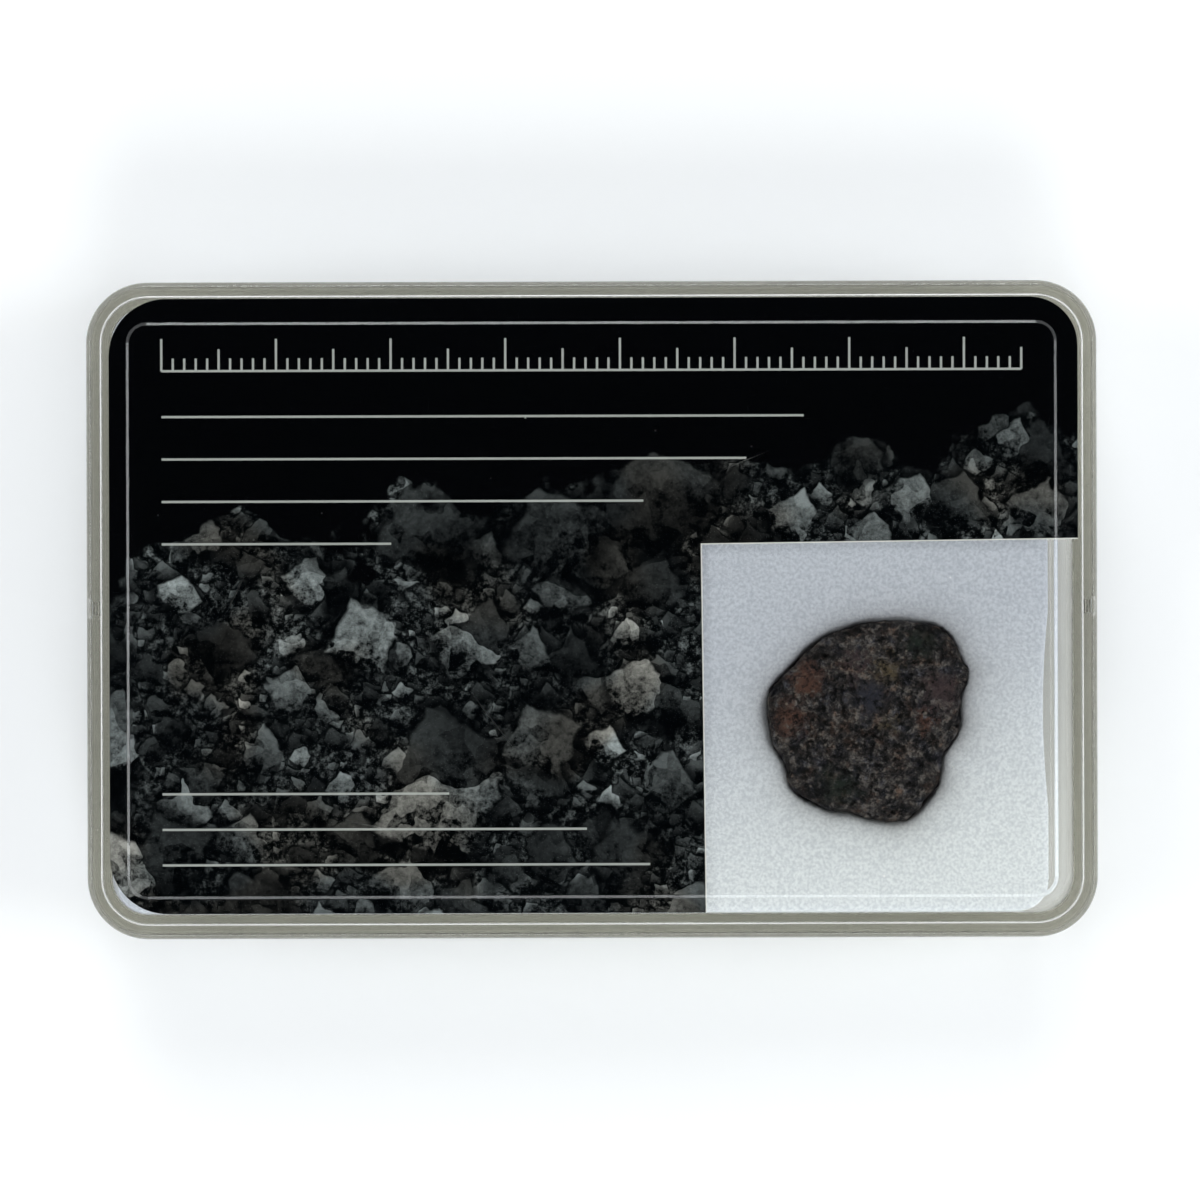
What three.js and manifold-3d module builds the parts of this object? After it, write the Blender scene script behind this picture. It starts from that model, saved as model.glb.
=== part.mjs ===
// A chondrite meteorite fixed in its small clear plastic specimen box. The box is a tray with a lift-off
// lid. A white foam pad fills the tray, an L-shaped printed card lies on the pad under the lid, and the
// stone is pressed into the pad where the card is cut away.
// Millimetres, +Z up. The origin is the middle of the box's underside, +X is the long way of the box,
// towards the stone, and +Y is the short way, away from the stone.
import * as THREE from "three";
import { mergeVertices } from "three/addons/utils/BufferGeometryUtils.js";
import Module from "manifold-3d";

// The closed box
const BOX_LENGTH = 88;
const BOX_WIDTH = 57.2;
const BOX_HEIGHT = 14;
const CORNER_RADIUS = 5.3;
const CORNER_STEPS = 8;
const FILLET_STEPS = 3;

// The lid: a skirt outside the tray, and a raised panel on top that locates the next box of a stack
const LID_WALL = 1.05;
const LID_CEILING_Z = 12.3;
const LID_SKIRT_Z = 3.65;
const LID_EDGE_RADIUS = 0.8;
const LID_INNER_FILLET = 0.3;
const PANEL_INSET = 3.55;
const PANEL_SLOPE = 0.2;
const PANEL_RISE = 0.35;
const SHOULDER_Z = BOX_HEIGHT - PANEL_RISE;

// The tray: a foot flush with the lid's skirt, a ledge that carries the skirt, and a wall inside it
const TRAY_FOOT_HEIGHT = 3.5;
const TRAY_FOOT_RADIUS = 0.7;
const TRAY_WALL_INSET = 1.2;
const TRAY_WALL = 0.9;
const TRAY_FLOOR = 1.2;
const TRAY_RIM_Z = 10.9;
const TRAY_RIM_RADIUS = 0.25;
const RECESS_INSET = 3.4;
const RECESS_DEPTH = 0.4;

// The snap at the middle of each short side: a nib on the tray's wall and a pocket for it in the skirt
const SNAP_Y = 0.2;
const SNAP_Z = 8.6;
const NIB = { out: 0.55, width: 1.4, height: 1.1 };
const NIB_CLEARANCE = 0.15;

// The foam pad, cut a little short on the stone's side
const FOAM = { left: -41.5, right: 39.8, front: -26.1, back: 26.1, radius: 2.6 };
const FOAM_TOP_Z = 11.2;
const FOAM_EDGE = 0.35;

// The dent in the foam: how far it stays off the stone, and how its lip flares out to the pad's top
const POCKET_SECTORS = 56;
const POCKET_LEVELS = 8;
const POCKET_GAP = 0.45;
const POCKET_DEPTH_GAP = 0.45;
const POCKET_LIP_Z = 9.8;
const POCKET_FLARE = [
  { out: 0.4, up: 0 },
  { out: 0.75, up: 0.5 },
  { out: 1.35, up: 0.95 },
  { out: 2.15, up: 1.25 },
  { out: 3.2, up: 1.42 },
];

// The printed card, and the window cut out of its front right corner, slightly out of square
const CARD = { left: -42.1, right: 42.4, front: -26.45, back: 27.2 };
const CARD_THICKNESS = 0.35;
const CARD_LEFT_RADIUS = 5.0;
const CARD_RIGHT_RADIUS = 4.2;
const WINDOW_CORNER = { x: 9.6, y: 5.65 };
const WINDOW_FRONT_X = 9.95;
const WINDOW_RIGHT_Y = 6.05;

// The stone: the heights of its top, its widest level and its underside, how square its section is,
// how much of the relief the outline keeps out, and the outline from above, about its own centre
const STONE_CENTRE = { x: 24.0, y: -9.85 };
const STONE_HIGHEST_Z = 12.2;
const STONE_TOP_Z = 11.9;
const STONE_WIDEST_Z = 10.2;
const STONE_BOTTOM_Z = 7.0;
const STONE_TOP_SQUARENESS = 3.4;
const STONE_UNDER_SQUARENESS = 2.4;
const STONE_DETAIL = 11;
const OUTLINE_HOLD = 0.8;
const OUTLINE_HOLD_POWER = 8;
const STONE_OUTLINE = [
  [8.86, 4.29], [8.21, 5.53], [7.65, 6.9], [6.84, 7.84], [5.6, 8.55], [3.98, 8.74],
  [1.49, 8.74], [-0.75, 8.55], [-2.74, 7.77], [-4.86, 6.47], [-6.72, 4.66], [-8.4, 2.79],
  [-8.78, 1.43], [-8.65, -0.32], [-8.34, -1.81], [-7.47, -3.06], [-7.03, -4.18], [-6.85, -5.3],
  [-5.48, -6.85], [-4.23, -7.41], [-3.24, -7.85], [-1.25, -7.93], [-0.5, -8.28], [1.24, -8.66],
  [2.74, -8.76], [3.61, -8.47], [4.85, -7.16], [6.16, -5.54], [6.47, -4.3], [6.6, -2.93],
  [7.59, -1.81], [8.28, -0.32], [8.24, 0.93], [8.21, 2.17], [8.59, 3.17],
];

// The broken faces of the stone's top, each as its height over the stone's centre, relative to the
// top, and its slope along X and Y
const BROKEN_FACES = [
  { height: 0, slopeX: 0.012, slopeY: -0.006 },
  { height: 0.1, slopeX: 0.075, slopeY: -0.03 },
  { height: 0.34, slopeX: -0.06, slopeY: -0.095 },
  { height: 2.15, slopeX: -0.42, slopeY: 0.06 },
  { height: 0.42, slopeX: 0.05, slopeY: 0.1 },
];

// Lumps, ledges and pits: each is a place about the stone's own centre, how far it reaches, and how
// far it stands out, below zero for a pit
const LUMPS = [
  { x: -5.2, y: 3.1, z: 11.8, reach: 2.3, out: 0.26 },
  { x: -1.6, y: 5.2, z: 11.8, reach: 1.7, out: 0.24 },
  { x: 1.9, y: 6.6, z: 11.6, reach: 1.1, out: -0.36 },
  { x: 3.9, y: 5.0, z: 11.6, reach: 1.5, out: -0.4 },
  { x: 6.4, y: 5.9, z: 11.2, reach: 1.3, out: 0.3 },
  { x: 0.5, y: 2.4, z: 11.8, reach: 1.4, out: -0.34 },
  { x: 2.2, y: 0.2, z: 11.8, reach: 1.2, out: 0.24 },
  { x: 5.2, y: 1.6, z: 11.8, reach: 1.7, out: 0.26 },
  { x: -4.4, y: -1.2, z: 11.8, reach: 1.5, out: -0.36 },
  { x: -1.2, y: -3.6, z: 11.8, reach: 2.0, out: 0.22 },
  { x: 1.2, y: -2.0, z: 11.8, reach: 1.0, out: -0.28 },
  { x: 4.3, y: -2.4, z: 11.8, reach: 1.3, out: -0.42 },
  { x: 1.8, y: -6.4, z: 11.6, reach: 1.5, out: 0.3 },
  { x: -4.6, y: -5.0, z: 11.5, reach: 1.3, out: -0.3 },
  { x: -7.4, y: 0.6, z: 11.2, reach: 1.2, out: 0.3 },
  { x: -3.0, y: 2.0, z: 7.1, reach: 2.8, out: -0.6 },
  { x: 3.6, y: -1.5, z: 7.1, reach: 2.6, out: 0.35 },
  { x: 0.5, y: 5.0, z: 7.4, reach: 2.2, out: -0.4 },
];

// Low swells that break up the even section: the wavelength along each axis, and how far they stand out
const SWELLS = [
  { along: [7.9, 11.3, 6.1], phase: 0.4, out: 0.14 },
  { along: [-5.3, 6.7, 5.2], phase: 2.1, out: 0.1 },
  { along: [3.4, 4.6, -4.1], phase: 4.4, out: 0.08 },
];

const wasm = await Module();
wasm.setup();

// A closed mesh as a solid that can be joined and cut
function toSolid(geometry) {
  const bare = geometry.clone();
  bare.deleteAttribute("normal");
  bare.deleteAttribute("uv");
  const merged = mergeVertices(bare, 1e-4);
  return new wasm.Manifold(
    new wasm.Mesh({
      numProp: 3,
      vertProperties: merged.attributes.position.array,
      triVerts: new Uint32Array(merged.index.array),
    }),
  );
}

// The solid back as a three.js geometry
function toGeometry(solid) {
  const { vertProperties, triVerts } = solid.getMesh();
  const geometry = new THREE.BufferGeometry();
  geometry.setAttribute("position", new THREE.BufferAttribute(vertProperties, 3));
  geometry.setIndex(new THREE.BufferAttribute(triVerts, 1));
  geometry.computeVertexNormals();
  return geometry;
}

// Skins a stack of rings that each run anticlockwise seen from above. The first ring is closed by a
// face that looks down, and the last by one that looks up.
function skinRings(rings) {
  const count = rings[0].length;
  const points = rings.flat();
  const faces = [];
  rings.slice(1).forEach((_, level) => {
    for (let i = 0; i < count; i++) {
      const next = (i + 1) % count;
      const [a, b] = [level * count + i, level * count + next];
      const [c, d] = [b + count, a + count];
      faces.push(a, b, c, a, c, d);
    }
  });
  const centreOf = (ring) => ring.reduce((sum, p) => sum.add(p), new THREE.Vector3()).divideScalar(count);
  const [under, over] = [points.length, points.length + 1];
  points.push(centreOf(rings[0]), centreOf(rings.at(-1)));
  const last = (rings.length - 1) * count;
  for (let i = 0; i < count; i++) {
    const next = (i + 1) % count;
    faces.push(under, next, i, over, last + i, last + next);
  }
  const geometry = new THREE.BufferGeometry().setFromPoints(points);
  geometry.setIndex(faces);
  return geometry;
}

// A ring round a rectangle with round corners
function roundedRing({ left, right, front, back, radius }, z) {
  const corners = [
    [right - radius, back - radius, 0],
    [left + radius, back - radius, 90],
    [left + radius, front + radius, 180],
    [right - radius, front + radius, 270],
  ];
  return corners.flatMap(([x, y, from]) =>
    Array.from({ length: CORNER_STEPS + 1 }, (_, i) => {
      const angle = THREE.MathUtils.degToRad(from + (90 * i) / CORNER_STEPS);
      return new THREE.Vector3(x + radius * Math.cos(angle), y + radius * Math.sin(angle), z);
    }),
  );
}

// A ring that far inside the outside of the box
function boxRing(inset, z) {
  const outline = {
    left: inset - BOX_LENGTH / 2,
    right: BOX_LENGTH / 2 - inset,
    front: inset - BOX_WIDTH / 2,
    back: BOX_WIDTH / 2 - inset,
    radius: CORNER_RADIUS - inset,
  };
  return roundedRing(outline, z);
}

// Rings along a quarter round in the box's section. It turns about (inset, z) from one direction to
// another, in degrees, where 0 points inwards and 90 points up.
function filletRings(inset, z, radius, from, to) {
  return Array.from({ length: FILLET_STEPS + 1 }, (_, i) => {
    const angle = THREE.MathUtils.degToRad(from + ((to - from) * i) / FILLET_STEPS);
    return boxRing(inset + radius * Math.cos(angle), z + radius * Math.sin(angle));
  });
}

// A block standing on one short side of the box, where the snap is
function snapBlock(side, innerX, outerX, width, height) {
  const block = new THREE.BoxGeometry(outerX - innerX, width, height);
  block.translate((side * (innerX + outerX)) / 2, SNAP_Y, SNAP_Z);
  return toSolid(block);
}

function lidGeometry() {
  const shell = skinRings([
    ...filletRings(LID_WALL + LID_INNER_FILLET, LID_CEILING_Z - LID_INNER_FILLET, LID_INNER_FILLET, 90, 180),
    boxRing(LID_WALL, LID_SKIRT_Z),
    boxRing(0, LID_SKIRT_Z),
    ...filletRings(LID_EDGE_RADIUS, SHOULDER_Z - LID_EDGE_RADIUS, LID_EDGE_RADIUS, 180, 90),
    boxRing(PANEL_INSET, SHOULDER_Z),
    boxRing(PANEL_INSET + PANEL_SLOPE, BOX_HEIGHT),
  ]);
  const skirtFace = BOX_LENGTH / 2 - LID_WALL;
  const pocketDepth = NIB.out + NIB_CLEARANCE - (TRAY_WALL_INSET - LID_WALL);
  return [1, -1].reduce((solid, side) => {
    const pocket = snapBlock(
      side,
      skirtFace - 0.5,
      skirtFace + pocketDepth,
      NIB.width + 2 * NIB_CLEARANCE,
      NIB.height + 2 * NIB_CLEARANCE,
    );
    return solid.subtract(pocket);
  }, toSolid(shell));
}

function trayGeometry() {
  const innerInset = TRAY_WALL_INSET + TRAY_WALL;
  const shell = skinRings([
    boxRing(RECESS_INSET, RECESS_DEPTH),
    boxRing(RECESS_INSET, 0),
    ...filletRings(TRAY_FOOT_RADIUS, TRAY_FOOT_RADIUS, TRAY_FOOT_RADIUS, 270, 180),
    boxRing(0, TRAY_FOOT_HEIGHT),
    boxRing(TRAY_WALL_INSET, TRAY_FOOT_HEIGHT),
    ...filletRings(TRAY_WALL_INSET + TRAY_RIM_RADIUS, TRAY_RIM_Z - TRAY_RIM_RADIUS, TRAY_RIM_RADIUS, 180, 90),
    ...filletRings(innerInset - TRAY_RIM_RADIUS, TRAY_RIM_Z - TRAY_RIM_RADIUS, TRAY_RIM_RADIUS, 90, 0),
    boxRing(innerInset, TRAY_FLOOR),
  ]);
  const wallFace = BOX_LENGTH / 2 - TRAY_WALL_INSET;
  return [1, -1].reduce(
    (solid, side) =>
      solid.add(snapBlock(side, wallFace - TRAY_WALL / 2, wallFace + NIB.out, NIB.width, NIB.height)),
    toSolid(shell),
  );
}

// The stone's outline as a smooth closed curve about its own centre
const outlineCurve = new THREE.CatmullRomCurve3(
  STONE_OUTLINE.map(([x, y]) => new THREE.Vector3(x, y, 0)),
  true,
  "centripetal",
);

// How far the outline is from the stone's centre, point by point round the curve
const OUTLINE_SAMPLES = 360;
const outlineReach = outlineCurve
  .getSpacedPoints(OUTLINE_SAMPLES)
  .map((p) => ({ angle: Math.atan2(p.y, p.x), reach: Math.hypot(p.x, p.y) }))
  .sort((a, b) => a.angle - b.angle);

// The outline's reach towards an angle between minus and plus half a turn
function reachTowards(angle) {
  const after = outlineReach.findIndex((sample) => sample.angle >= angle);
  const [a, b] = [outlineReach.at(after - 1), outlineReach.at(after)];
  const gap = THREE.MathUtils.euclideanModulo(b.angle - a.angle, 2 * Math.PI);
  const along = THREE.MathUtils.euclideanModulo(angle - a.angle, 2 * Math.PI);
  return THREE.MathUtils.lerp(a.reach, b.reach, gap > 0 ? along / gap : 0);
}

// How far up or down the section is where a share of the outline's reach is left
function sectionHeight(share, squareness) {
  return Math.max(0, 1 - share ** squareness) ** (1 / squareness);
}

// The height of the stone's top at a place about its own centre
function topHeight(x, y) {
  const faces = BROKEN_FACES.map(({ height, slopeX, slopeY }) => height + slopeX * x + slopeY * y);
  return STONE_TOP_Z + Math.min(...faces);
}

// How far the surface stands out at a place about the stone's own centre, before the outline is held
function relief(x, y, z) {
  const swell = SWELLS.reduce((sum, { along, phase, out }) => {
    const turns = x / along[0] + y / along[1] + (z - STONE_WIDEST_Z) / along[2];
    return sum + out * Math.sin(2 * Math.PI * turns + phase);
  }, 0);
  return LUMPS.reduce((sum, lump) => {
    const away = Math.hypot(x - lump.x, y - lump.y, z - lump.z) / lump.reach;
    return sum + lump.out * Math.exp(-away * away);
  }, swell);
}

// The point of the stone's surface that a point of a unit sphere is moved to
function stonePoint(unit) {
  const share = Math.hypot(unit.x, unit.y);
  const angle = Math.atan2(unit.y, unit.x);
  const reach = share * reachTowards(angle);
  const [x, y] = [reach * Math.cos(angle), reach * Math.sin(angle)];
  const over = unit.z > 0;
  const height = sectionHeight(share, over ? STONE_TOP_SQUARENESS : STONE_UNDER_SQUARENESS);
  const z = THREE.MathUtils.lerp(STONE_WIDEST_Z, over ? topHeight(x, y) : STONE_BOTTOM_Z, height);
  const outwards = new THREE.Vector3(Math.cos(angle), Math.sin(angle), 0).multiplyScalar(share ** 3);
  outwards.z = over ? height : -height;
  const point = new THREE.Vector3(STONE_CENTRE.x + x, STONE_CENTRE.y + y, z);
  const free = 1 - OUTLINE_HOLD * share ** OUTLINE_HOLD_POWER;
  point.addScaledVector(outwards.normalize(), free * relief(x, y, z));
  point.z = Math.min(point.z, STONE_HIGHEST_Z);
  return point;
}

function stoneGeometry() {
  const sphere = new THREE.IcosahedronGeometry(1, STONE_DETAIL);
  sphere.deleteAttribute("normal");
  sphere.deleteAttribute("uv");
  const stone = mergeVertices(sphere, 1e-4);
  const places = stone.getAttribute("position");
  for (let i = 0; i < places.count; i++) {
    const point = stonePoint(new THREE.Vector3().fromBufferAttribute(places, i));
    places.setXYZ(i, point.x, point.y, point.z);
  }
  stone.computeVertexNormals();
  return stone;
}

// The stone's outline shrunk to a share of its reach and pushed out by some millimetres, at a height
function outlineRing(share, push, z) {
  return Array.from({ length: POCKET_SECTORS }, (_, i) => {
    const angle = (2 * Math.PI * (i + 0.5)) / POCKET_SECTORS - Math.PI;
    const reach = share * reachTowards(angle) + push;
    return new THREE.Vector3(
      STONE_CENTRE.x + reach * Math.cos(angle),
      STONE_CENTRE.y + reach * Math.sin(angle),
      z,
    );
  });
}

// The dent that the stone presses into the foam: it follows the stone's underside at a small gap and
// flares out to the pad's top
function pocketSolid() {
  const bottom = STONE_BOTTOM_Z - POCKET_DEPTH_GAP;
  const bowl = Array.from({ length: POCKET_LEVELS }, (_, i) => {
    const share = Math.sin(((Math.PI / 2) * (i + 1)) / (POCKET_LEVELS + 1));
    const height = sectionHeight(share, STONE_UNDER_SQUARENESS);
    return outlineRing(share, POCKET_GAP, THREE.MathUtils.lerp(POCKET_LIP_Z, bottom, height));
  });
  const flare = POCKET_FLARE.map(({ out, up }) => outlineRing(1, out, POCKET_LIP_Z + up));
  return toSolid(skinRings([...bowl, ...flare, outlineRing(1, POCKET_FLARE.at(-1).out, FOAM_TOP_Z + 1)]));
}

function foamGeometry() {
  const shrunk = {
    left: FOAM.left + FOAM_EDGE,
    right: FOAM.right - FOAM_EDGE,
    front: FOAM.front + FOAM_EDGE,
    back: FOAM.back - FOAM_EDGE,
    radius: FOAM.radius - FOAM_EDGE,
  };
  const block = skinRings([
    roundedRing(FOAM, TRAY_FLOOR),
    roundedRing(FOAM, FOAM_TOP_Z - FOAM_EDGE),
    roundedRing(shrunk, FOAM_TOP_Z),
  ]);
  return toSolid(block).subtract(pocketSolid());
}

function cardGeometry() {
  const { left, right, front, back } = CARD;
  const outline = new THREE.Shape();
  outline.moveTo(left + CARD_LEFT_RADIUS, front);
  outline.lineTo(WINDOW_FRONT_X, front);
  outline.lineTo(WINDOW_CORNER.x, WINDOW_CORNER.y);
  outline.lineTo(right, WINDOW_RIGHT_Y);
  outline.lineTo(right, back - CARD_RIGHT_RADIUS);
  outline.absarc(right - CARD_RIGHT_RADIUS, back - CARD_RIGHT_RADIUS, CARD_RIGHT_RADIUS, 0, Math.PI / 2);
  outline.lineTo(left + CARD_LEFT_RADIUS, back);
  outline.absarc(left + CARD_LEFT_RADIUS, back - CARD_LEFT_RADIUS, CARD_LEFT_RADIUS, Math.PI / 2, Math.PI);
  outline.lineTo(left, front + CARD_LEFT_RADIUS);
  outline.absarc(left + CARD_LEFT_RADIUS, front + CARD_LEFT_RADIUS, CARD_LEFT_RADIUS, Math.PI, 1.5 * Math.PI);
  const settings = { depth: CARD_THICKNESS, bevelEnabled: false, curveSegments: CORNER_STEPS };
  return new THREE.ExtrudeGeometry(outline, settings).translate(0, 0, FOAM_TOP_Z);
}

const clearPlastic = new THREE.MeshStandardMaterial({
  color: 0xd9dbd2,
  roughness: 0.08,
  metalness: 0,
  transparent: true,
  opacity: 0.35,
});
const whiteFoam = new THREE.MeshStandardMaterial({ color: 0xd8dde2, roughness: 0.95, metalness: 0 });
const darkPrint = new THREE.MeshStandardMaterial({ color: 0x1c2022, roughness: 0.55, metalness: 0 });
const darkStone = new THREE.MeshStandardMaterial({ color: 0x2f2b29, roughness: 0.8, metalness: 0 });

function piece(name, geometry, material) {
  const mesh = new THREE.Mesh(geometry, material);
  mesh.name = name;
  return mesh;
}

const specimenBox = new THREE.Group();
specimenBox.add(
  piece("lid", toGeometry(lidGeometry()), clearPlastic),
  piece("tray", toGeometry(trayGeometry()), clearPlastic),
  piece("foam_pad", toGeometry(foamGeometry()), whiteFoam),
  piece("printed_card", cardGeometry(), darkPrint),
  piece("meteorite", stoneGeometry(), darkStone),
);

export default specimenBox;
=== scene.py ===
# A chondrite meteorite in a clear plastic specimen box: the tray, the foam pad in it, the stone pressed
# into the pad, the printed card laid round the stone, the lid over it all, and then the studio.
import math

import bmesh
import bpy
from mathutils import Matrix, Vector, noise
from mathutils.bvhtree import BVHTree


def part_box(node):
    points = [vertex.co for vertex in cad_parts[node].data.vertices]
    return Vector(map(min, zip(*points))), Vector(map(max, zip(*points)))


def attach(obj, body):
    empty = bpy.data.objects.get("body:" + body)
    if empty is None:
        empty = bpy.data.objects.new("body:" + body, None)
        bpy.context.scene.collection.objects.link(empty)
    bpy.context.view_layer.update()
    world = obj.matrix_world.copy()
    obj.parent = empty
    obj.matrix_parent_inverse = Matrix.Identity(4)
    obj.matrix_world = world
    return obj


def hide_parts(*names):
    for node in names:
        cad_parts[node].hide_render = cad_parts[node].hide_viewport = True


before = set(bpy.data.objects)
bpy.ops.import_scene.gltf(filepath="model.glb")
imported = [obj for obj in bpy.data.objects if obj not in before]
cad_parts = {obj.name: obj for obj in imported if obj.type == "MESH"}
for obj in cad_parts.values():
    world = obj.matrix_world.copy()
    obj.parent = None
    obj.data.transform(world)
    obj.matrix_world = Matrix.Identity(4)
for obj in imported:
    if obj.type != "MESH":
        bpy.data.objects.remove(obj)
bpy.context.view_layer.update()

# The tray: the lower half of the box, injection moulded in clear polystyrene. A foot flush with the
# lid's skirt carries a ledge for the skirt, and a thinner wall stands inside it. A nib at the middle of
# each short side snaps into the lid.
MM = 0.001
CLOSE = 0.01 * MM
BOX_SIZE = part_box("lid")[1].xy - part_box("lid")[0].xy
CORNER_RADIUS = 5.3 * MM
CORNER_SEGMENTS = 18
TRAY_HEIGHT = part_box("tray")[1].z
FOOT_HEIGHT = 3.5 * MM
WALL_INSET = 1.2 * MM
WALL_THICKNESS = 0.9 * MM
INNER_INSET = WALL_INSET + WALL_THICKNESS
TRAY_FLOOR = 1.2 * MM
RECESS_INSET = 3.4 * MM
RECESS_DEPTH = 0.4 * MM
TRAY_EDGES = (
    {"inset": 0, "z": 0, "radius": 0.7 * MM, "segments": 6},
    {"inset": 0, "z": FOOT_HEIGHT, "radius": 0.1 * MM, "segments": 2},
    {"inset": WALL_INSET, "z": FOOT_HEIGHT, "radius": 0.15 * MM, "segments": 3},
    {"inset": WALL_INSET, "z": TRAY_HEIGHT, "radius": 0.25 * MM, "segments": 4},
    {"inset": INNER_INSET, "z": TRAY_HEIGHT, "radius": 0.25 * MM, "segments": 4},
    {"inset": INNER_INSET, "z": TRAY_FLOOR, "radius": 0.5 * MM, "segments": 4},
    {"inset": RECESS_INSET, "z": 0, "radius": 0.12 * MM, "segments": 2},
    {"inset": RECESS_INSET, "z": RECESS_DEPTH, "radius": 0.12 * MM, "segments": 2},
)
NIB_PLACE = Vector((0, 0.2 * MM, 8.6 * MM))
NIB_SIZE = (1.4 * MM, 1.1 * MM)
NIB_OUT = 0.55 * MM
NIB_TAPER = 0.75
TINT = (0.80, 0.795, 0.755, 1)
POLYSTYRENE_IOR = 1.59
TRAY_DENSITY = 340
POLISH = 0.02


def rounded_block(size, low_z, high_z, radius, segments):
    """A block round the vertical axis with its four upright edges rounded."""
    block = bmesh.new()
    stretch = Matrix.Diagonal((size.x, size.y, high_z - low_z, 1))
    lift = Matrix.Translation((0, 0, (low_z + high_z) / 2))
    bmesh.ops.create_cube(block, size=1, matrix=lift @ stretch)
    uprights = [e for e in block.edges if abs(e.verts[0].co.z - e.verts[1].co.z) > CLOSE]
    bmesh.ops.bevel(
        block, geom=uprights, offset=radius, affect="EDGES", segments=segments, profile=0.5, material=-1
    )
    return block


def flat_face(mesh, z, up):
    """The widest level face of a mesh at a height, looking up or down."""
    level = [f for f in mesh.faces if abs(f.calc_center_median().z - z) < CLOSE and f.normal.z * up > 0.9]
    return max(level, key=lambda f: f.calc_area())


def step_in(mesh, face, distance, rise=0.0):
    """Insets a level face evenly all round, and raises what is left of it."""
    bmesh.ops.inset_region(mesh, faces=[face], thickness=distance, use_even_offset=True)
    bmesh.ops.translate(mesh, verts=face.verts, vec=(0, 0, rise))
    return face


def draw_out(mesh, face, rise):
    """Draws a level face straight up or down, and gives back the moved face."""
    moved = bmesh.ops.extrude_discrete_faces(mesh, faces=[face])["faces"][0]
    bmesh.ops.translate(mesh, verts=moved.verts, vec=(0, 0, rise))
    return moved


def inset_of(point):
    """How far a point lies inside the box's outline, seen from above."""
    past = Vector((abs(point.x), abs(point.y))) - BOX_SIZE / 2 + Vector((CORNER_RADIUS, CORNER_RADIUS))
    outside = Vector((max(past.x, 0), max(past.y, 0))).length
    return CORNER_RADIUS - outside - min(max(past.x, past.y), 0)


def round_ring(mesh, inset, z, radius, segments):
    """Rounds the ring of edges that runs round the box at that inset and height."""
    ring = [
        edge
        for edge in mesh.edges
        if all(abs(v.co.z - z) < CLOSE and abs(inset_of(v.co) - inset) < CLOSE for v in edge.verts)
    ]
    bmesh.ops.bevel(
        mesh, geom=ring, offset=radius, affect="EDGES", segments=segments, profile=0.5, material=-1
    )


def finished(name, mesh, materials, smooth_below=40):
    """Turns a bmesh into a smooth-shaded object with sharp edges kept, riding on the one body."""
    bmesh.ops.recalc_face_normals(mesh, faces=mesh.faces)
    for face in mesh.faces:
        face.smooth = True
    for edge in mesh.edges:
        edge.smooth = edge.calc_face_angle(0) < math.radians(smooth_below)
    data = bpy.data.meshes.new(name)
    mesh.to_mesh(data)
    mesh.free()
    for material in materials:
        data.materials.append(material)
    piece = bpy.data.objects.new(name, data)
    bpy.context.scene.collection.objects.link(piece)
    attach(piece, "root")
    return piece


def even_normals(piece):
    """Keeps the broad flat faces optically flat next to their rounded edges."""
    weighting = piece.modifiers.new("even normals", "WEIGHTED_NORMAL")
    weighting.keep_sharp = True
    weighting.weight = 100


def add(tree, kind, inputs=(), **settings):
    """Adds a shader node with its settings. Each input is a value, or the output that feeds it."""
    node = tree.nodes.new("ShaderNode" + kind)
    for name, value in settings.items():
        setattr(node, name, value)
    for name, value in dict(inputs).items():
        if isinstance(value, bpy.types.NodeSocket):
            tree.links.new(value, node.inputs[name])
        else:
            node.inputs[name].default_value = value
    return node


def calculate(tree, operation, *values, clamp=False):
    """A Math node on one, two or three numbers."""
    return add(tree, "Math", enumerate(values), operation=operation, use_clamp=clamp).outputs[0]


def start_material(name):
    """A new material's node tree with its output, and the piece's own coordinates in millimetres."""
    material = bpy.data.materials.new(name)
    material.use_nodes = True
    tree = material.node_tree
    tree.nodes.clear()
    output = add(tree, "OutputMaterial")
    place = add(tree, "TexCoord").outputs["Object"]
    millimetres = add(tree, "VectorMath", {0: place, "Scale": 1 / MM}, operation="SCALE").outputs[0]
    return material, tree, output, millimetres


def clear_polystyrene(name, density):
    """Clear moulded polystyrene, faintly tinted in its depth. What lights or shades the things inside
    passes straight through it. Gives back the material, its shader and its coordinates."""
    material, tree, output, millimetres = start_material(name)
    plastic = add(
        tree,
        "BsdfPrincipled",
        {
            "Base Color": (1, 1, 1, 1),
            "Roughness": POLISH,
            "IOR": POLYSTYRENE_IOR,
            "Transmission Weight": 1.0,
        },
    )
    path = add(tree, "LightPath")
    passing = calculate(tree, "MAXIMUM", path.outputs["Is Shadow Ray"], path.outputs["Is Diffuse Ray"])
    through = add(tree, "BsdfTransparent")
    surface = add(tree, "MixShader", {0: passing, 1: plastic.outputs[0], 2: through.outputs[0]})
    depth = add(tree, "VolumeAbsorption", {"Color": TINT, "Density": density})
    tree.links.new(surface.outputs[0], output.inputs["Surface"])
    tree.links.new(depth.outputs[0], output.inputs["Volume"])
    return material, plastic, millimetres


def end_wall(mesh, wall_x, looks):
    """The faces of an upright end wall, which look to the right for 1 and to the left for -1."""
    facing = [f for f in mesh.faces if f.normal.x * looks > 0.99]
    return [f for f in facing if abs(f.verts[0].co.x - wall_x) < CLOSE]


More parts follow.
